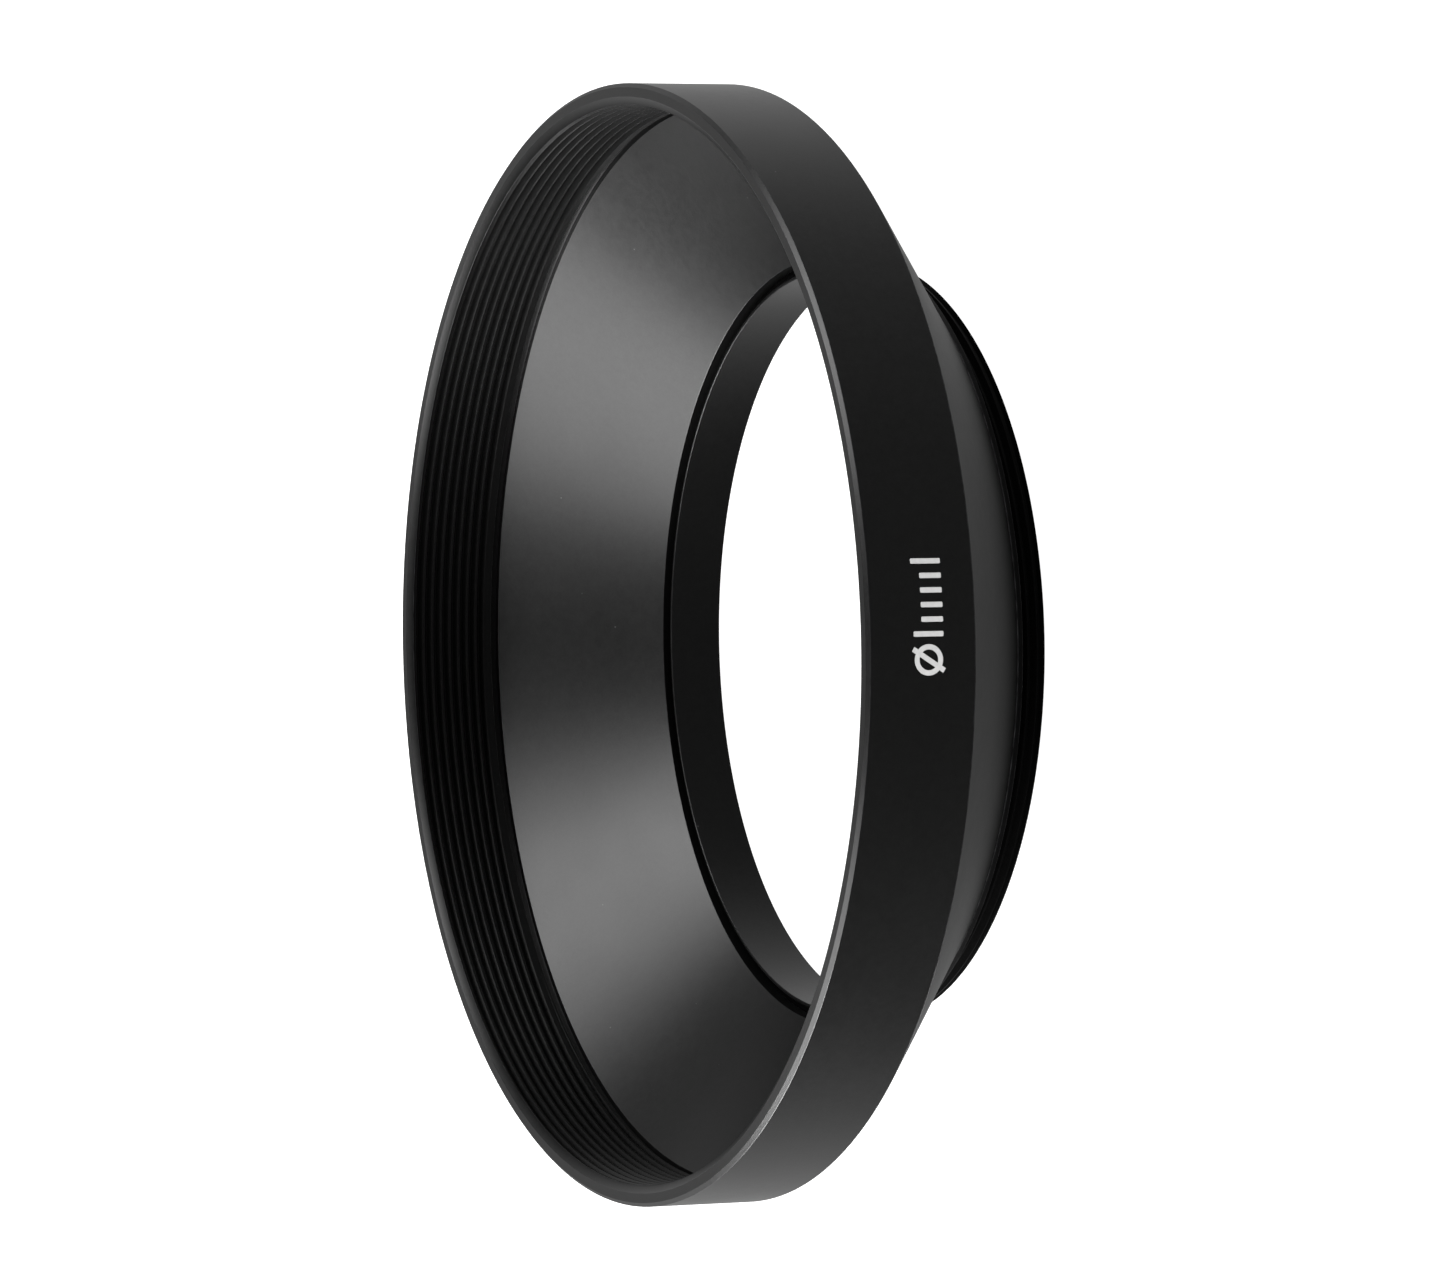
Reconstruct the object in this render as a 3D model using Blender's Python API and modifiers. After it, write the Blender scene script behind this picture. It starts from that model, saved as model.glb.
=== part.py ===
"""Screw-in wide-angle lens hood, turned from aluminium and anodised black.

Three turned pieces stand on one axis. +Z runs along the optical axis from the rear end, which
screws into the lens, to the open front. The origin is the centre of the rear end face.

  mount_ring   thin threaded tube that screws into the filter thread of the lens
  shade_cone   flared wall with the collar that holds the mount ring
  front_ring   cylindrical band with the lip and the inner thread for a front filter or cap
"""

from math import radians, tan

import bpy

MM = 0.001

# Driving dimensions, all in millimetres.
TOTAL_LENGTH = 21.33
SEAM_GAP = 0.30              # clearance where two pieces meet
RIM_STEPS = 96               # facets round each turned piece

THREAD_PITCH = 0.75          # both threads are fine filter threads
THREAD_FLANK = 30.0          # half of the 60 degree thread angle

BAND_RADIUS = 42.20
BAND_LENGTH = 8.58
LIP_OUTER_RADIUS = 41.90
LIP_BREAK = 0.25             # chamfer on the outer edge of the lip

FRONT_THREAD_MAJOR = 41.00   # nominal 82 mm
FRONT_THREAD_MINOR = 40.59
FRONT_LEAD_IN = 0.37         # chamfer that leads a filter into the front thread
FRONT_LEAD_RADIUS = 41.17    # its outer edge, on the lip
FRONT_FIRST_GROOVE = 1.08    # from the lip down to the middle of the first groove
FRONT_GROOVES = 8
RELIEF_RADIUS = 41.15        # run-out groove behind the front thread

SPIGOT_RADIUS = 41.25        # rim of the cone that the front ring sits on
CONE_ANGLE = 51.6            # generator of the outer wall, measured from the axis
CONE_MOUTH_RADIUS = 40.62    # inner wall at the front end of the cone
CONE_MOUTH_DEPTH = 7.74      # from the lip down to the front end of the cone
CONE_THROAT_RADIUS = 29.10   # inner wall where it meets the collar's bore
CONE_THROAT_HEIGHT = 4.39

COLLAR_RADIUS = 30.30
SEAT_HEIGHT = 2.88           # shoulder that seats on the lens
SEAT_BREAK = 0.10            # broken edge of the shoulder

BORE_RADIUS = 28.00
TUBE_HEIGHT = 4.19
TUBE_TIP_RADIUS = 28.20
TUBE_NECK_RADIUS = 28.50
TUBE_TIP_CHAMFER = 0.30
LAND_RADIUS = 28.80          # part of the tube that is held in the collar
LAND_HEIGHT = 3.60

REAR_THREAD_MAJOR = 28.97    # nominal 58 mm
REAR_THREAD_MINOR = 28.50
REAR_FIRST_CREST = 1.04      # from the rear end up to the middle of the first whole crest
REAR_CRESTS = 2
REAR_TIP_RADIUS = 28.20
REAR_TIP_CHAMFER = 0.35      # flat chamfer that leads the tube into the lens
REAR_EDGE_RADIUS = 28.84     # its outer edge, cut into the first crest


def clear_scene():
    """Remove whatever the opened scene holds."""
    for item in list(bpy.data.objects):
        bpy.data.objects.remove(item, do_unlink=True)


def new_collection(name):
    """Add a collection to the scene and return it."""
    group = bpy.data.collections.new(name)
    bpy.context.scene.collection.children.link(group)
    return group


def anodised(name, colour, roughness):
    """Make a black anodised aluminium finish."""
    finish = bpy.data.materials.new(name)
    finish.use_nodes = True
    shader = finish.node_tree.nodes["Principled BSDF"]
    shader.inputs["Base Color"].default_value = (*colour, 1.0)
    shader.inputs["Metallic"].default_value = 0.6
    shader.inputs["Roughness"].default_value = roughness
    return finish


def outer_cone_radius(height):
    """Radius of the outer wall of the cone at a height above the rear end."""
    seam_height = TOTAL_LENGTH - BAND_LENGTH
    return BAND_RADIUS - (seam_height - height) * tan(radians(CONE_ANGLE))


def front_thread():
    """Outline of the front ring's inner thread, from its lowest groove up."""
    half_mouth = (FRONT_THREAD_MAJOR - FRONT_THREAD_MINOR) * tan(radians(THREAD_FLANK))
    points = []
    for turn in reversed(range(FRONT_GROOVES)):
        middle = TOTAL_LENGTH - FRONT_FIRST_GROOVE - turn * THREAD_PITCH
        points.append((FRONT_THREAD_MINOR, middle - half_mouth))
        points.append((FRONT_THREAD_MAJOR, middle))
        points.append((FRONT_THREAD_MINOR, middle + half_mouth))
    return points


def rear_thread():
    """Outline of the mount ring's outer thread, from its highest groove down."""
    half_root = (REAR_THREAD_MAJOR - REAR_THREAD_MINOR) * tan(radians(THREAD_FLANK))
    points = []
    for turn in reversed(range(REAR_CRESTS)):
        middle = REAR_FIRST_CREST + turn * THREAD_PITCH
        points.append((REAR_THREAD_MINOR, middle + half_root))
        points.append((REAR_THREAD_MAJOR, middle))
        points.append((REAR_THREAD_MINOR, middle - half_root))
    return points


def front_ring_outline():
    """Band, rear joint face, socket for the cone, run-out groove, thread and lip."""
    seam_height = TOTAL_LENGTH - BAND_LENGTH
    socket_radius = SPIGOT_RADIUS + SEAM_GAP
    socket_height = TOTAL_LENGTH - CONE_MOUTH_DEPTH + SEAM_GAP
    relief_top = TOTAL_LENGTH - FRONT_FIRST_GROOVE - (FRONT_GROOVES - 0.5) * THREAD_PITCH
    outline = [
        (LIP_OUTER_RADIUS, TOTAL_LENGTH),
        (BAND_RADIUS, TOTAL_LENGTH - LIP_BREAK),
        (BAND_RADIUS, seam_height),
        (socket_radius, seam_height),
        (socket_radius, socket_height),
        (RELIEF_RADIUS, socket_height),
        (RELIEF_RADIUS, relief_top - THREAD_PITCH / 4),
        (FRONT_THREAD_MINOR, relief_top),
    ]
    outline += front_thread()
    outline.append((FRONT_THREAD_MINOR, TOTAL_LENGTH - FRONT_LEAD_IN))
    outline.append((FRONT_LEAD_RADIUS, TOTAL_LENGTH))
    return outline


def shade_cone_outline():
    """Spigot, outer wall, collar, seat, collar bore and inner wall."""
    mouth_height = TOTAL_LENGTH - CONE_MOUTH_DEPTH
    step_height = TOTAL_LENGTH - BAND_LENGTH - SEAM_GAP
    collar_drop = outer_cone_radius(step_height) - COLLAR_RADIUS
    collar_top = step_height - collar_drop / tan(radians(CONE_ANGLE))
    return [
        (SPIGOT_RADIUS, mouth_height),
        (SPIGOT_RADIUS, step_height),
        (outer_cone_radius(step_height), step_height),
        (COLLAR_RADIUS, collar_top),
        (COLLAR_RADIUS, SEAT_HEIGHT + SEAT_BREAK),
        (COLLAR_RADIUS - SEAT_BREAK, SEAT_HEIGHT),
        (CONE_THROAT_RADIUS, SEAT_HEIGHT),
        (CONE_THROAT_RADIUS, CONE_THROAT_HEIGHT),
        (CONE_MOUTH_RADIUS, mouth_height),
    ]


def mount_ring_outline():
    """Chamfered front tip, neck, land, outer thread, rear end and bore."""
    outline = [
        (TUBE_TIP_RADIUS, TUBE_HEIGHT),
        (TUBE_NECK_RADIUS, TUBE_HEIGHT - TUBE_TIP_CHAMFER),
        (TUBE_NECK_RADIUS, LAND_HEIGHT),
        (LAND_RADIUS, LAND_HEIGHT),
        (LAND_RADIUS, SEAT_HEIGHT),
        (REAR_THREAD_MINOR, SEAT_HEIGHT - THREAD_PITCH / 4),
    ]
    outline += rear_thread()
    edge_foot = REAR_TIP_CHAMFER + (REAR_EDGE_RADIUS - REAR_THREAD_MINOR) * tan(radians(THREAD_FLANK))
    outline.append((REAR_THREAD_MINOR, edge_foot))
    outline.append((REAR_EDGE_RADIUS, REAR_TIP_CHAMFER))
    outline.append((REAR_TIP_RADIUS, 0.0))
    outline.append((BORE_RADIUS, 0.0))
    outline.append((BORE_RADIUS, TUBE_HEIGHT))
    return outline


def turned_piece(name, outline, finish, collection):
    """Turn a closed outline of (radius, height) points, in millimetres, about the Z axis."""
    points = [(radius * MM, 0.0, height * MM) for radius, height in outline]
    count = len(points)
    edges = [(index, (index + 1) % count) for index in range(count)]
    mesh = bpy.data.meshes.new(name)
    mesh.from_pydata(points, edges, [])
    mesh.materials.append(finish)
    piece = bpy.data.objects.new(name, mesh)
    collection.objects.link(piece)
    turn = piece.modifiers.new("turn", "SCREW")
    turn.axis = "Z"
    turn.angle = radians(360.0)
    turn.steps = RIM_STEPS
    turn.render_steps = RIM_STEPS
    turn.use_merge_vertices = True
    turn.merge_threshold = 0.000001
    turn.use_smooth_shade = False
    return piece


def build():
    """Model the hood's three pieces on their common axis."""
    clear_scene()
    hood = new_collection("lens_hood")
    satin = anodised("front_ring_black", (0.016, 0.016, 0.017), 0.38)
    fine = anodised("shade_black", (0.022, 0.022, 0.023), 0.42)
    deep = anodised("mount_black", (0.012, 0.012, 0.013), 0.34)

    axis = bpy.data.objects.new("optical_axis", None)
    hood.objects.link(axis)
    pieces = [
        turned_piece("front_ring", front_ring_outline(), satin, hood),
        turned_piece("shade_cone", shade_cone_outline(), fine, hood),
        turned_piece("mount_ring", mount_ring_outline(), deep, hood),
    ]
    for piece in pieces:
        piece.parent = axis


build()
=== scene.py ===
"""Looks of the screw-in lens hood: fine turned skins, threads, print, finishes, floor, light and camera."""

from math import copysign, cos, pi, radians, sin, tan

import bmesh
import bpy
from mathutils import Matrix, Vector


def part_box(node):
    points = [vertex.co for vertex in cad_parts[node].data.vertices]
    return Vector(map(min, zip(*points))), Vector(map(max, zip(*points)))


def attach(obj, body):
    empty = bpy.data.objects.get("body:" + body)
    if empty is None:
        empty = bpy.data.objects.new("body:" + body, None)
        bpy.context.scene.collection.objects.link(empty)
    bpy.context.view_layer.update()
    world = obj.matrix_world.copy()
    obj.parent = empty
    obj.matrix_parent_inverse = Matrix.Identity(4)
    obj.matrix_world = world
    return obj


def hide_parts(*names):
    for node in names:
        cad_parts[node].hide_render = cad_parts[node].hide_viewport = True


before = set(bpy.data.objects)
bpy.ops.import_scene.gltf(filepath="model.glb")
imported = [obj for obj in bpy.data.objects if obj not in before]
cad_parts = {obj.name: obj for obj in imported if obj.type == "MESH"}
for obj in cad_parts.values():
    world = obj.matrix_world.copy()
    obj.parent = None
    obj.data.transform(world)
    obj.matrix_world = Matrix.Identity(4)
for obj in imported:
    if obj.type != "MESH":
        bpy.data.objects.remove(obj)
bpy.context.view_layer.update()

MM = 0.001

# The hood's own sizes, in millimetres. Z is the height above the rear end, on the optical axis.
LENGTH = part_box("front_ring")[1].z / MM
BAND_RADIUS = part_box("front_ring")[1].x / MM
BAND_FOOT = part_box("front_ring")[0].z / MM
MOUTH_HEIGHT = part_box("shade_cone")[1].z / MM
SEAT_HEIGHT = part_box("shade_cone")[0].z / MM
TUBE_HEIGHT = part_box("mount_ring")[1].z / MM

PITCH = 0.75                 # both threads
FLANK = radians(30)          # half of the thread angle
FLAT = PITCH / 16            # half of the flat at the thread's peak
THREAD_AZIMUTH = radians(127)
STEPS = 288                  # facets round each turned piece
HAIR = 0.02                  # clearance between the skins of two pieces

LIP_OUTER = 41.90
LIP_BREAK = 0.25             # chamfer on the outer edge of the lip
LEAD_RADIUS = 41.17          # outer edge of the lead-in chamfer, on the lip
LEAD_IN = 0.37
FRONT_MAJOR = 41.02          # nominal 82 mm
FRONT_MINOR = 40.58
FRONT_START = 6.83           # from the lip down to where its thread starts
FRONT_TURNS = 8.41
RELIEF_RADIUS = 41.10        # deepest place of the run-out groove
RELIEF_FOOT = 41.03          # its rear end, beside the cone
RELIEF_DEPTH = 0.48          # from the cone's mouth up to the deepest place
RELIEF_LENGTH = 0.66         # from the cone's mouth up to the thread

SPIGOT_RADIUS = 41.25
CONE_ANGLE = radians(51.6)   # outer wall, from the axis
MOUTH_RADIUS = 40.62
THROAT_RADIUS = 29.10
THROAT_HEIGHT = 4.39
COLLAR_RADIUS = 30.30
SHADED_RADIUS = 37.00        # painted shade on the outer wall from here down to the collar

BORE_RADIUS = 28.00
TIP_RADIUS = 28.20
END_RADIUS = 28.18
EDGE_RADIUS = 28.84          # outer edge of the chamfer on the rear end
END_CHAMFER = 0.35
NECK_RADIUS = 28.50
REAR_MAJOR = 28.97           # nominal 58 mm
REAR_MINOR = 28.50
REAR_START = 0.735           # height where its thread starts
REAR_TURNS = 2.51
TIP_CHAMFER = 0.30
LAND_RADIUS = 29.06          # part of the tube that is held in the collar
LAND_FOOT = 2.98
LAND_TOP = 3.54
LAND_BREAK = 0.04

# Printed mark on the band: lengths along the band and heights above the rear end.
MARK_START = -2.52
MARK_FOOT = 15.30
MARK_TOP = 17.66
PRINT_STROKE = 0.38
PRINT_LIFT = 0.015
PRINT_ROOT = 0.02
RING_RADIUS = 1.12
SLASH_ANGLE = radians(58)
SLASH_REACH = 1.46
BARS = 6
BAR_START = 0.45
BAR_STEP = 1.04
BAR_HEIGHT = 1.72
BAR_EASE = 0.07              # rounding of a bar's ends
INK_GAP = 0.004              # between the slash and the ring

# Painted shade on parts of the front ring, from 0 to 1, where shade falls in its grooves and chamfers. The
# lip stands proud, so it catches more light: its value below 0 is a painted highlight.
LIP_SHADE = -0.15
LEAD_IN_SHADE = 0.9
RELIEF_SHADE = 0.52
CREST_SHADE = 0.58
ROOT_SHADE = 0.78

# Finish of the three rings, with the share of gloss their painted shade leaves.
DYE = (0.0013, 0.0013, 0.0013)
# Darker copy of the dye for the mount ring: painted shade, as the tube sits far inside, in the hood's shade.
SHADED_DYE = (0.0009, 0.0009, 0.0009)
SATIN = 0.33                 # roughness
FRONT_SHADED_GLOSS = 0.15            # share of the gloss that is left where the painted shade is strongest
CONE_SHADED_GLOSS = 0.22
MOUNT_SHADED_GLOSS = 0.12

# Light levels, as radiance.
TABLE_GLOW = 1.25
ROOM_GLOW = 0.14
WALL_GLOW = 0.62
UNDER_GLOW = 0.45
ONE_OVER_E = 0.3679          # falloff of the glow, one width away from its middle

# Softboxes: name, azimuth and elevation in degrees, width and height in metres, radiance.
SOFTBOXES = (
    ("key_right", 8, 58, 0.62, 0.62, 3.7),
    ("key_right_core", 0, 58, 0.40, 0.40, 3.1),
    ("key_left", 172, 54, 0.62, 0.62, 5.6),
    ("side_left", 180, 20, 0.90, 0.45, 27.0),
    ("side_right", -20, 12, 0.60, 0.40, 8.3),
)


# ---------------------------------------------------------------- turned shapes

def eased(corners, steps=4, margin=0.01):
    """Round the corners of a closed outline and mark them as worn.

    A corner is (radius, height, ease). Each one becomes an arc with that ease, in millimetres, with
    a support point just outside both ends so that the flats beside it stay flat when shaded smooth.
    The points returned are (radius, height, wear).
    """
    outline = []
    count = len(corners)
    for index, (radius, height, ease) in enumerate(corners):
        here = Vector((radius, height))
        if ease == 0:
            outline.append((radius, height, 0.0))
            continue
        before = Vector(corners[index - 1][:2]) - here
        after = Vector(corners[(index + 1) % count][:2]) - here
        reach_in, reach_out = before.length, after.length
        before.normalize()
        after.normalize()
        half = before.angle(after) / 2
        back = ease / tan(half)
        centre = here + (before + after).normalized() * (ease / sin(half))
        start = here + before * back
        sweep = (pi - 2 * half) * (1 if before.cross(after) < 0 else -1)
        if reach_in > 2 * (back + margin):
            outline.append((*(start + before * margin), 0.0))
        arm = start - centre
        for step in range(steps + 1):
            turn = sweep * step / steps
            outline.append((
                centre.x + arm.x * cos(turn) - arm.y * sin(turn),
                centre.y + arm.x * sin(turn) + arm.y * cos(turn),
                1.0))
        if reach_out > 2 * (back + margin):
            outline.append((*(here + after * (back + margin)), 0.0))
    return outline


def smooth_step(share):
    """Ease from 0 to 1."""
    share = min(1.0, max(0.0, share))
    return share * share * (3 - 2 * share)


def thread_section(thread, step):
    """Points across the thread at a step along it, as (radius, height, wear), from low to high.

    The form grows out of the plain wall at one end of the thread and sinks back into it at the other.
    """
    run = step / STEPS
    growth = smooth_step(run / thread["grow"]) * smooth_step((thread["turns"] - run) / thread["sink"])
    rise = (thread["peak"] - thread["wall"]) * growth
    half_foot = FLAT + abs(rise) * tan(FLANK)
    middle = thread["start_height"] + PITCH * run
    form = ((-half_foot, 0.0), (-FLAT, rise), (FLAT, rise), (half_foot, 0.0))
    return [(thread["wall"] + reach, middle + offset, 0.0) for offset, reach in form]


def turned(name, outline, shade_at, thread=None):
    """Turn a closed outline about Z, with a one-start right-hand thread between its last and first point.

    The thread winds round the wall from its start height and azimuth over a number of turns. A function
    of radius and height gives the painted shade at each point, from 0 to 1, where shade falls in corners of
    the piece.
    """
    mesh = bpy.data.meshes.new(name)
    work = bmesh.new()
    fixed = len(outline)
    first = round(thread["start_azimuth"] * STEPS / (2 * pi)) % STEPS if thread else 0
    last = first + round(thread["turns"] * STEPS) if thread else 0

    wear = work.verts.layers.float.new("wear")
    # Painted shade: how much gloss each point loses where shade falls on it.
    painted_shade = work.verts.layers.float.new("painted_shade")
    columns = []
    for column in range(STEPS):
        around = 2 * pi * column / STEPS
        spots = list(outline)
        windings = []
        if thread:
            windings = [turn for turn in range(last // STEPS + 1) if first <= column + STEPS * turn <= last]
            for turn in windings:
                spots += thread_section(thread, column + STEPS * turn - first)
        run = []
        for radius, height, worn in spots:
            spot = work.verts.new((radius * MM * cos(around), radius * MM * sin(around), height * MM))
            spot[wear] = worn
            spot[painted_shade] = shade_at(radius, height)
            run.append(spot)
        columns.append((windings, run))

    def strip(left, right):
        """Join two runs of as many points each with quads."""
        for index in range(len(left) - 1):
            work.faces.new((left[index], left[index + 1], right[index + 1], right[index]))

    for column in range(STEPS):
        windings, left = columns[column]
        following, right = columns[(column + 1) % STEPS]
        strip(left[:fixed], right[:fixed])
        if not thread:
            work.faces.new((left[-1], left[0], right[0], right[-1]))
            continue
        lap = 1 if column == STEPS - 1 else 0
        grooves_left, grooves_right = left[fixed:], right[fixed:]
        form = len(grooves_left) // len(windings)
        fresh = [] if following[0] == windings[0] + lap else grooves_right[:form]
        spent = [] if following[-1] == windings[-1] + lap else grooves_left[-form:]
        grooves_right = grooves_right[len(fresh):]
        grooves_left = grooves_left[:len(grooves_left) - len(spent)]
        strip(grooves_left, grooves_right)
        work.faces.new([left[fixed - 1], grooves_left[0], grooves_right[0], *reversed(fresh),
                        right[fixed - 1]])
        work.faces.new([grooves_left[-1], *spent, left[0], right[0], grooves_right[-1]])

    bmesh.ops.recalc_face_normals(work, faces=work.faces)
    work.to_mesh(mesh)
    work.free()
    mesh.shade_smooth()
    mesh.set_sharp_from_angle(angle=radians(38))
    piece = bpy.data.objects.new(name, mesh)
    bpy.context.scene.collection.objects.link(piece)
    return piece


def make_front_ring():
    """Band, lip, lead-in chamfer, inner thread and run-out groove."""
    relief_top = MOUTH_HEIGHT + RELIEF_LENGTH
    corners = [
        (FRONT_MINOR, LENGTH - LEAD_IN, 0.04),
        (LEAD_RADIUS, LENGTH, 0.04),
        (LIP_OUTER, LENGTH, 0.015),
        (BAND_RADIUS, LENGTH - LIP_BREAK, 0.05),
        (BAND_RADIUS, BAND_FOOT + HAIR, 0.04),
        (SPIGOT_RADIUS + HAIR, BAND_FOOT + HAIR, 0.0),
        (SPIGOT_RADIUS + HAIR, MOUTH_HEIGHT + HAIR, 0.0),
        (RELIEF_FOOT, MOUTH_HEIGHT + HAIR, 0.0),
        (RELIEF_RADIUS, MOUTH_HEIGHT + RELIEF_DEPTH, 0.06),
        (FRONT_MINOR, relief_top, 0.03),
    ]
    thread = {
        "wall": FRONT_MINOR,
        "peak": FRONT_MAJOR,
        "start_height": LENGTH - FRONT_START,
        "start_azimuth": THREAD_AZIMUTH,
        "turns": FRONT_TURNS,
        "grow": 0.12,
        "sink": 0.36,
    }

    def shade_at(radius, height):
        """Painted shade on the lead-in chamfer, thread and run-out groove, strongest at the thread's roots; a
        painted highlight on the lip.
        """
        if radius > LEAD_RADIUS - 0.02:
            return LIP_SHADE if height > LENGTH - 0.005 else 0.0
        if height > LENGTH - LEAD_IN - 0.1:
            return LEAD_IN_SHADE
        if height < relief_top - 0.02:
            return RELIEF_SHADE
        share = (radius - FRONT_MINOR) / (FRONT_MAJOR - FRONT_MINOR)
        return CREST_SHADE + (ROOT_SHADE - CREST_SHADE) * share

    return turned("front_ring_turned", eased(corners), shade_at, thread)


def make_shade_cone():
    """Spigot, flared wall, collar, seat and collar bore."""
    collar_top = BAND_FOOT - (BAND_RADIUS - COLLAR_RADIUS) / tan(CONE_ANGLE)
    corners = [
        (MOUTH_RADIUS, MOUTH_HEIGHT, 0.05),
        (SPIGOT_RADIUS, MOUTH_HEIGHT, 0.03),
        (SPIGOT_RADIUS, BAND_FOOT, 0.0),
        (BAND_RADIUS - HAIR, BAND_FOOT, 0.02),
        (SHADED_RADIUS, collar_top + (SHADED_RADIUS - COLLAR_RADIUS) / tan(CONE_ANGLE), 0.0),
        (COLLAR_RADIUS, collar_top, 0.15),
        (COLLAR_RADIUS, SEAT_HEIGHT, 0.03),
        (THROAT_RADIUS, SEAT_HEIGHT, 0.0),
        (THROAT_RADIUS, THROAT_HEIGHT, 0.05),
    ]

    def shade_at(radius, height):
        """Painted shade on the collar and seat, fading out up the outer wall; nothing inside."""
        wall = collar_top + max(0.0, radius - COLLAR_RADIUS) / tan(CONE_ANGLE)
        if height > wall + 0.2:
            return 0.0
        return min(1.0, max(0.0, (SHADED_RADIUS - radius) / (SHADED_RADIUS - COLLAR_RADIUS - 0.3)))

    return turned("shade_cone_turned", eased(corners), shade_at)


def make_mount_ring():
    """Thin tube with a bright front edge, neck, land, outer thread and rear end."""
    corners = [
        (REAR_MINOR, LAND_FOOT, 0.0),
        (LAND_RADIUS, LAND_FOOT + LAND_BREAK, 0.0),
        (LAND_RADIUS, LAND_TOP - LAND_BREAK, 0.0),
        (NECK_RADIUS, LAND_TOP, 0.0),
        (NECK_RADIUS, TUBE_HEIGHT - TIP_CHAMFER, 0.03),
        (TIP_RADIUS, TUBE_HEIGHT, 0.03),
        (BORE_RADIUS, TUBE_HEIGHT, 0.05),
        (BORE_RADIUS, 0.0, 0.06),
        (END_RADIUS, 0.0, 0.03),
        (EDGE_RADIUS, END_CHAMFER, 0.02),
        (REAR_MINOR, END_CHAMFER + (EDGE_RADIUS - REAR_MINOR) * tan(FLANK), 0.0),
    ]
    thread = {
        "wall": REAR_MINOR,
        "peak": REAR_MAJOR,
        "start_height": REAR_START,
        "start_azimuth": THREAD_AZIMUTH,
        "turns": REAR_TURNS,
        "grow": 0.25,
        "sink": 0.10,
    }

    def shade_at(radius, height):
        """Painted shade on everything outside the bore and its two end faces."""
        return float(radius > TIP_RADIUS + 0.05)

    return turned("mount_ring_turned", eased(corners), shade_at, thread)


# ---------------------------------------------------------------- finishes

class Nodes:
    """Short way to lay out a material's nodes."""

    def __init__(self, name):
        self.material = bpy.data.materials.new(name)
        self.material.use_nodes = True
        self.tree = self.material.node_tree
        self.shader = self.tree.nodes["Principled BSDF"]

    def put(self, socket, value):
        """Link an output to a socket, or set its value."""
        if isinstance(value, bpy.types.NodeSocket):
            self.tree.links.new(value, socket)
        else:
            socket.default_value = value

    def node(self, kind, output=0, settings=None, **inputs):
        """Add a node, set it up and return one of its outputs."""
        made = self.tree.nodes.new(kind)
        for key, value in (settings or {}).items():
            setattr(made, key, value)
        for key, value in inputs.items():
            name = key.replace("_", " ")
            socket = made.inputs[int(key[1:])] if key[1:].isdigit() else made.inputs[name]
            self.put(socket, value)
        return made.outputs[output]

    def math(self, operation, first, second=0.0, third=0.0):
        """Add a math node."""
        return self.node("ShaderNodeMath", 0, {"operation": operation}, i0=first, i1=second, i2=third)

    def noise(self, vector, scale, detail=2.0, roughness=0.55):
        """Add a noise texture in millimetres."""
        return self.node("ShaderNodeTexNoise", 0, None, Vector=vector, Scale=scale, Detail=detail,
                         Roughness=roughness)

    def spread(self, value, low, high, clamp=True):
        """Map 0..1 to a range."""
        return self.node("ShaderNodeMapRange", 0, {"clamp": clamp}, Value=value, To_Min=low, To_Max=high)


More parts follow.
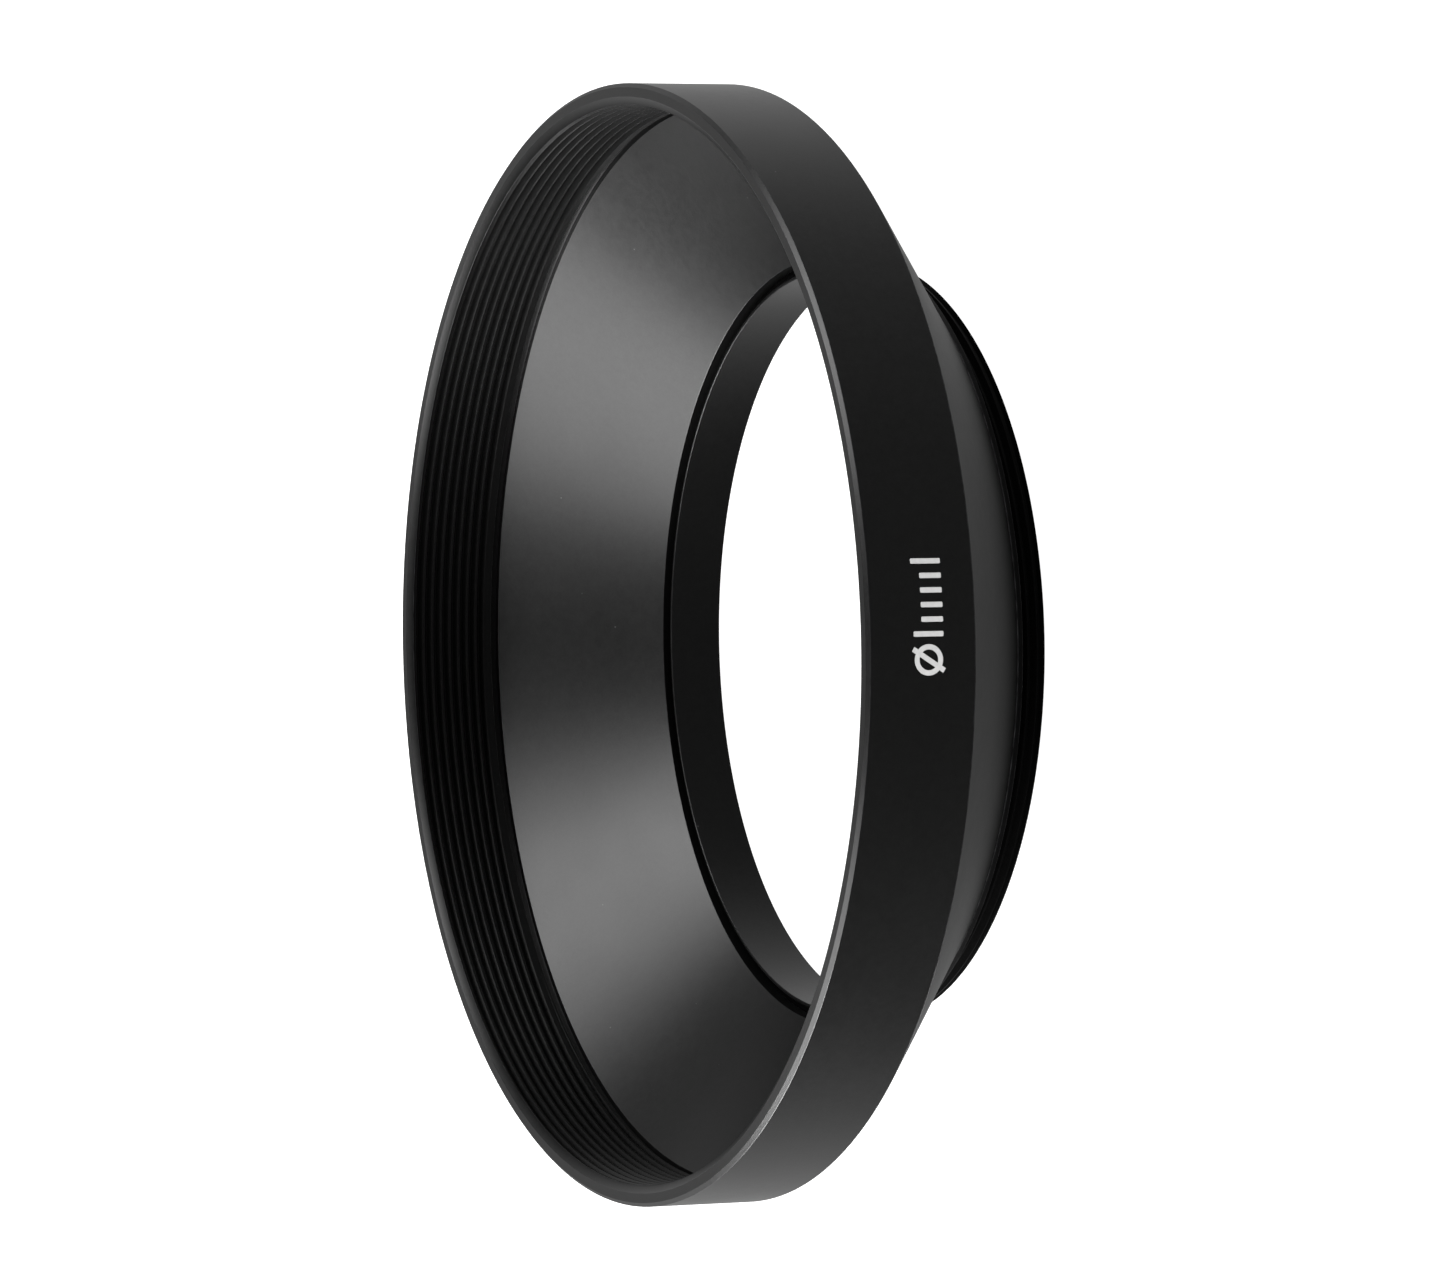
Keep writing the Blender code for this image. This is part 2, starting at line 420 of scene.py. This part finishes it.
def anodised(name, colour, shaded_gloss, faced=None):
    """Black anodised aluminium: blasted grain, faint lathe lines, mottled dye, worn edges and specks.

    Painted shade: the gloss falls to the given share where the piece lies deepest in shade. Above the faced
    height, in millimetres, the surface is a flat face with the sheen of a turned finish.
    """
    make = Nodes(name)
    place = make.node("ShaderNodeTexCoord", "Object")
    place = make.node("ShaderNodeVectorMath", 0, {"operation": "SCALE"}, i0=place, Scale=1000.0)
    split = make.tree.nodes.new("ShaderNodeSeparateXYZ")
    make.put(split.inputs[0], place)
    across, along, height = split.outputs
    radius = make.math("SQRT", make.math("ADD", make.math("MULTIPLY", across, across),
                                         make.math("MULTIPLY", along, along)))

    # Lathe lines run round the axis: fine across radius and height, long round the turn.
    section = make.node("ShaderNodeCombineXYZ", 0, None, X=radius, Y=height,
                        Z=make.math("MULTIPLY", across, 0.012))
    lines = make.node("ShaderNodeTexNoise", 0, {"noise_dimensions": "4D"}, Vector=section,
                      W=make.math("MULTIPLY", along, 0.012), Scale=11.0, Detail=2.0)
    blast = make.noise(place, 5.5, 3.0, 0.6)
    mottle = make.noise(place, 1.6, 3.0, 0.6)
    cloud = make.noise(place, 0.16, 2.0)
    wear = make.node("ShaderNodeAttribute", 2, {"attribute_name": "wear"})
    # Painted shade, stored on the points of the turned pieces.
    painted_shade = make.node("ShaderNodeAttribute", 2, {"attribute_name": "painted_shade"})

    # Worn edges: the dye thins out in patches.
    patches = make.spread(make.noise(place, 0.9, 4.0, 0.65), -0.6, 1.3)
    worn = make.math("MULTIPLY", wear, patches)
    # Sparse pale specks of dust.
    cells = make.node("ShaderNodeTexVoronoi", 0, {"feature": "F1"}, Vector=place, Scale=0.30)
    speck = make.math("LESS_THAN", cells, 0.018)

    cover = make.math("ADD", make.math("MULTIPLY", mottle, 0.6), make.math("MULTIPLY", blast, 0.4))
    shade = make.spread(cover, 0.82, 1.18, False)
    base = make.node("ShaderNodeVectorMath", 0, {"operation": "SCALE"}, i0=colour, Scale=shade)
    pale = make.node("ShaderNodeMix", 2, {"data_type": "RGBA"}, i0=make.math("MULTIPLY", worn, 0.5),
                     i6=base, i7=(0.05, 0.05, 0.052, 1))
    pale = make.node("ShaderNodeMix", 2, {"data_type": "RGBA"}, i0=make.math("MULTIPLY", speck, 0.25),
                     i6=pale, i7=(0.25, 0.25, 0.25, 1))
    make.put(make.shader.inputs["Base Color"], pale)

    rough = make.math("ADD", SATIN, make.spread(cloud, -0.025, 0.025, False))
    rough = make.math("ADD", rough, make.spread(mottle, -0.03, 0.03, False))
    rough = make.math("SUBTRACT", rough, make.math("MULTIPLY", worn, 0.06))
    make.put(make.shader.inputs["Roughness"], rough)

    sheen = make.math("ADD", make.math("MULTIPLY", mottle, 0.5), make.math("MULTIPLY", blast, 0.5))
    level = make.spread(sheen, 0.40, 0.60, False)
    # Painted shade: the gloss drops where the piece lies in shade.
    level = make.math("MULTIPLY", level, make.math("MULTIPLY_ADD", painted_shade, shaded_gloss - 1.0, 1.0))
    make.put(make.shader.inputs["Specular IOR Level"], level)
    make.shader.inputs["IOR"].default_value = 1.5

    relief = make.math("ADD", blast, lines)
    bump = make.node("ShaderNodeBump", 0, None, Height=relief, Strength=1.0, Distance=0.0000022)
    make.put(make.shader.inputs["Normal"], bump)
    if faced is not None:
        face = make.math("GREATER_THAN", height, faced)
        round_axis = make.node("ShaderNodeTangent", 0, {"direction_type": "RADIAL", "axis": "Z"})
        make.put(make.shader.inputs["Anisotropic"], make.math("MULTIPLY", face, 0.78))
        make.put(make.shader.inputs["Tangent"], round_axis)
        make.shader.inputs["Anisotropic Rotation"].default_value = 0.25
    return make.material


def printed_white(name):
    """Screen-printed white ink, slightly uneven."""
    make = Nodes(name)
    place = make.node("ShaderNodeTexCoord", "Object")
    place = make.node("ShaderNodeVectorMath", 0, {"operation": "SCALE"}, i0=place, Scale=1000.0)
    cover = make.noise(place, 3.0, 4.0, 0.6)
    tone = make.node("ShaderNodeMix", 2, {"data_type": "RGBA"}, i0=make.spread(cover, -0.2, 1.2),
                     i6=(0.38, 0.38, 0.38, 1), i7=(0.48, 0.48, 0.475, 1))
    make.put(make.shader.inputs["Base Color"], tone)
    make.put(make.shader.inputs["Roughness"], make.spread(make.noise(place, 8.0), 0.45, 0.65, False))
    bump = make.node("ShaderNodeBump", 0, None, Height=make.noise(place, 9.0, 3.0), Strength=1.0,
                     Distance=0.000004)
    make.put(make.shader.inputs["Normal"], bump)
    return make.material


# ---------------------------------------------------------------- printed mark

def wrap_on_band(sweep, height, lift):
    """Point on the band, from millimetres along the print and above the rear end."""
    around = sweep / BAND_RADIUS - pi / 2
    radius = BAND_RADIUS + lift
    return (radius * MM * cos(around), radius * MM * sin(around), height * MM)


def add_patch(work, rails):
    """Thin closed patch of ink between two rails of (sweep, height) points; a loop if its ends meet."""
    inner, outer = rails
    loop = inner[0] == inner[-1]
    count = len(inner) - 1 if loop else len(inner)
    layers = []
    for lift in (-PRINT_ROOT, PRINT_LIFT):
        layers.append([[work.verts.new(wrap_on_band(*spot, lift)) for spot in rail[:count]]
                       for rail in (inner, outer)])
    (low_in, low_out), (high_in, high_out) = layers
    for index in range(count if loop else count - 1):
        after = (index + 1) % count
        work.faces.new((high_in[index], high_in[after], high_out[after], high_out[index]))
        work.faces.new((low_in[index], low_out[index], low_out[after], low_in[after]))
        work.faces.new((high_in[index], low_in[index], low_in[after], high_in[after]))
        work.faces.new((high_out[index], high_out[after], low_out[after], low_out[index]))
    if not loop:
        for index in (0, count - 1):
            work.faces.new((high_in[index], high_out[index], low_out[index], low_in[index]))


def add_bar(work, sweep, foot, top):
    """Upright bar with slightly rounded ends."""
    half = PRINT_STROKE / 2
    near = 0.3 * BAR_EASE
    rises = [foot, foot + near, foot + BAR_EASE, top - BAR_EASE, top - near, top]
    insets = [BAR_EASE, near, 0.0, 0.0, near, BAR_EASE]
    rails = [[(sweep + side * (half - inset), rise) for rise, inset in zip(rises, insets)]
             for side in (-1, 1)]
    add_patch(work, rails)


def make_mark():
    """Generic mark on the band: a slashed ring, then a row of upright bars."""
    mesh = bpy.data.meshes.new("printed_mark")
    work = bmesh.new()
    half = PRINT_STROKE / 2
    outer = RING_RADIUS
    inner = RING_RADIUS - PRINT_STROKE
    centre = (MARK_START + outer, (MARK_FOOT + MARK_TOP) / 2)

    def polar(radius, angle):
        return (centre[0] + radius * cos(angle), centre[1] + radius * sin(angle))

    angles = [2 * pi * step / 48 for step in range(48)]
    angles.append(angles[0])
    add_patch(work, [[polar(inner, angle) for angle in angles], [polar(outer, angle) for angle in angles]])

    def slash_end(reach, curved):
        """Points across the slash at one end, which may follow a circle about the ring's centre."""
        spots = []
        for step in range(-3, 4):
            side = half * step / 3
            along = copysign((reach * reach - side * side) ** 0.5, reach) if curved else reach
            spots.append((
                centre[0] + along * cos(SLASH_ANGLE) - side * sin(SLASH_ANGLE),
                centre[1] + along * sin(SLASH_ANGLE) + side * cos(SLASH_ANGLE)))
        return spots

    add_patch(work, [slash_end(INK_GAP - inner, True), slash_end(inner - INK_GAP, True)])
    add_patch(work, [slash_end(outer + INK_GAP, True), slash_end(SLASH_REACH, False)])
    add_patch(work, [slash_end(-outer - INK_GAP, True), slash_end(-SLASH_REACH, False)])

    for index in range(BARS):
        sweep = BAR_START + index * BAR_STEP
        top = MARK_TOP if index in (0, BARS - 1) else MARK_FOOT + BAR_HEIGHT
        add_bar(work, sweep, MARK_FOOT, top)
    bmesh.ops.recalc_face_normals(work, faces=work.faces)
    work.to_mesh(mesh)
    work.free()
    mark = bpy.data.objects.new("printed_mark", mesh)
    bpy.context.scene.collection.objects.link(mark)
    return mark


# ---------------------------------------------------------------- camera, floor and light

VIEW_ANGLE = radians(64.868)     # between the optical axis and the line of sight
VIEW_LEAN = radians(-1.052)      # of the optical axis, sideways in the view
LIP_CENTRE_SEEN = Vector((-7.853, 0.810, 647.456))   # right, down and ahead of the camera, in mm
FOCAL_LENGTH = 213.8
SENSOR_WIDTH = 36.0


def add_camera():
    """Look into the mouth from the -Y side, with the camera turned on its side."""
    # The hood's own axes, as right, down and ahead of the camera.
    front = Vector((-sin(VIEW_ANGLE) * cos(VIEW_LEAN), -sin(VIEW_ANGLE) * sin(VIEW_LEAN), -cos(VIEW_ANGLE)))
    up = Vector((sin(VIEW_LEAN), -cos(VIEW_LEAN), 0))
    near = up.cross(front)
    right, down, ahead = (Vector((up[i], -near[i], front[i])) for i in range(3))
    seen = LIP_CENTRE_SEEN * MM
    place = Vector((0, 0, LENGTH * MM)) - right * seen.x - down * seen.y - ahead * seen.z
    camera = bpy.data.objects.new("camera", bpy.data.cameras.new("camera"))
    camera.data.lens = FOCAL_LENGTH
    camera.data.sensor_width = SENSOR_WIDTH
    camera.data.sensor_fit = "HORIZONTAL"
    camera.data.clip_start = 0.01
    axes = Matrix((right, -down, -ahead)).transposed().to_4x4()
    camera.matrix_world = Matrix.Translation(place) @ axes
    bpy.context.scene.collection.objects.link(camera)
    bpy.context.scene.camera = camera


def add_floor():
    """Pale backlit table top. It lights the hood softly but leaves no mirror image in the black metal."""
    bpy.ops.mesh.primitive_grid_add(x_subdivisions=8, y_subdivisions=8, size=3.0, location=(0, 0, -HAIR * MM))
    floor = bpy.context.object
    floor.name = "table_top"
    make = Nodes("table_white")
    place = make.node("ShaderNodeTexCoord", "Object")
    place = make.node("ShaderNodeVectorMath", 0, {"operation": "SCALE"}, i0=place, Scale=1000.0)
    tooth = make.noise(place, 2.4, 3.0)
    cloud = make.noise(place, 0.3, 3.0)
    white = make.node("ShaderNodeMix", 2, {"data_type": "RGBA"}, i0=cloud,
                      i6=(0.80, 0.80, 0.80, 1), i7=(0.84, 0.84, 0.84, 1))
    milky = make.node("ShaderNodeMix", 2, {"data_type": "RGBA"}, i0=cloud,
                      i6=(0.36, 0.36, 0.36, 1), i7=(0.40, 0.40, 0.40, 1))
    make.put(make.shader.inputs["Base Color"], milky)
    make.put(make.shader.inputs["Roughness"], make.spread(tooth, 0.8, 1.0))
    make.put(make.shader.inputs["Emission Color"], white)
    make.shader.inputs["Emission Strength"].default_value = TABLE_GLOW
    bump = make.node("ShaderNodeBump", 0, None, Height=tooth, Strength=1.0, Distance=0.00001)
    make.put(make.shader.inputs["Normal"], bump)
    floor.data.materials.append(make.material)
    floor.visible_glossy = False
    floor.visible_shadow = False


def add_softbox(name, azimuth, elevation, width, height, radiance):
    """Rectangular softbox, one metre away and aimed at the hood."""
    lamp = bpy.data.lights.new(name, "AREA")
    lamp.shape = "RECTANGLE"
    lamp.size = width
    lamp.size_y = height
    lamp.energy = radiance * pi * width * height
    box = bpy.data.objects.new(name, lamp)
    level = cos(radians(elevation))
    aim = Vector((level * cos(radians(azimuth)), level * sin(radians(azimuth)), sin(radians(elevation))))
    box.location = aim + Vector((0, 0, 0.01))
    box.rotation_euler = (-aim).to_track_quat("-Z", "Y").to_euler()
    bpy.context.scene.collection.objects.link(box)


def add_surroundings():
    """Dim room: an even base, a paler far wall, and its reflection low behind the table."""
    world = bpy.data.worlds.new("studio")
    world.use_nodes = True
    tree = world.node_tree

    def math(operation, first, second=0.0):
        made = tree.nodes.new("ShaderNodeMath")
        made.operation = operation
        for socket, value in zip(made.inputs, (first, second)):
            if isinstance(value, bpy.types.NodeSocket):
                tree.links.new(value, socket)
            else:
                socket.default_value = value
        return made.outputs[0]

    def rise(value, low, high):
        made = tree.nodes.new("ShaderNodeMapRange")
        made.interpolation_type = "SMOOTHSTEP"
        tree.links.new(value, made.inputs["Value"])
        made.inputs["From Min"].default_value = low
        made.inputs["From Max"].default_value = high
        return made.outputs[0]

    def hump(value, middle, width):
        share = math("DIVIDE", math("SUBTRACT", value, middle), width)
        return math("POWER", ONE_OVER_E, math("MULTIPLY", share, share))

    towards = tree.nodes.new("ShaderNodeTexCoord").outputs["Generated"]
    split = tree.nodes.new("ShaderNodeSeparateXYZ")
    tree.links.new(towards, split.inputs[0])
    depth, height = split.outputs[1], split.outputs[2]
    wall = math("MULTIPLY", rise(depth, -0.6, 0.5), hump(height, 0.20, 0.20))
    wall = math("MULTIPLY", wall, WALL_GLOW)
    under = math("MULTIPLY", rise(depth, -0.35, 0.60), hump(height, -0.40, 0.25))
    under = math("MULTIPLY", under, UNDER_GLOW)
    back = tree.nodes["Background"]
    back.inputs["Color"].default_value = (1, 1, 1, 1)
    tree.links.new(math("ADD", math("ADD", wall, under), ROOM_GLOW), back.inputs["Strength"])
    bpy.context.scene.world = world


# ---------------------------------------------------------------- assembly

front_ring = make_front_ring()
shade_cone = make_shade_cone()
mount_ring = make_mount_ring()
mark = make_mark()
front_ring.data.materials.append(anodised("satin_black", DYE, FRONT_SHADED_GLOSS, faced=LENGTH - 0.01))
shade_cone.data.materials.append(anodised("blasted_black", DYE, CONE_SHADED_GLOSS))
mount_ring.data.materials.append(anodised("shaded_black", SHADED_DYE, MOUNT_SHADED_GLOSS))
mark.data.materials.append(printed_white("print_white"))
for piece, node, slot in (
        (front_ring, "front_ring", "front_ring_black"),
        (shade_cone, "shade_cone", "shade_black"),
        (mount_ring, "mount_ring", "mount_black"),
        (mark, None, "white_print")):
    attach(piece, "root")
    if node:
        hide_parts(node)

add_camera()
add_floor()
for softbox in SOFTBOXES:
    add_softbox(*softbox)
add_surroundings()
bpy.context.scene.view_settings.view_transform = "Standard"
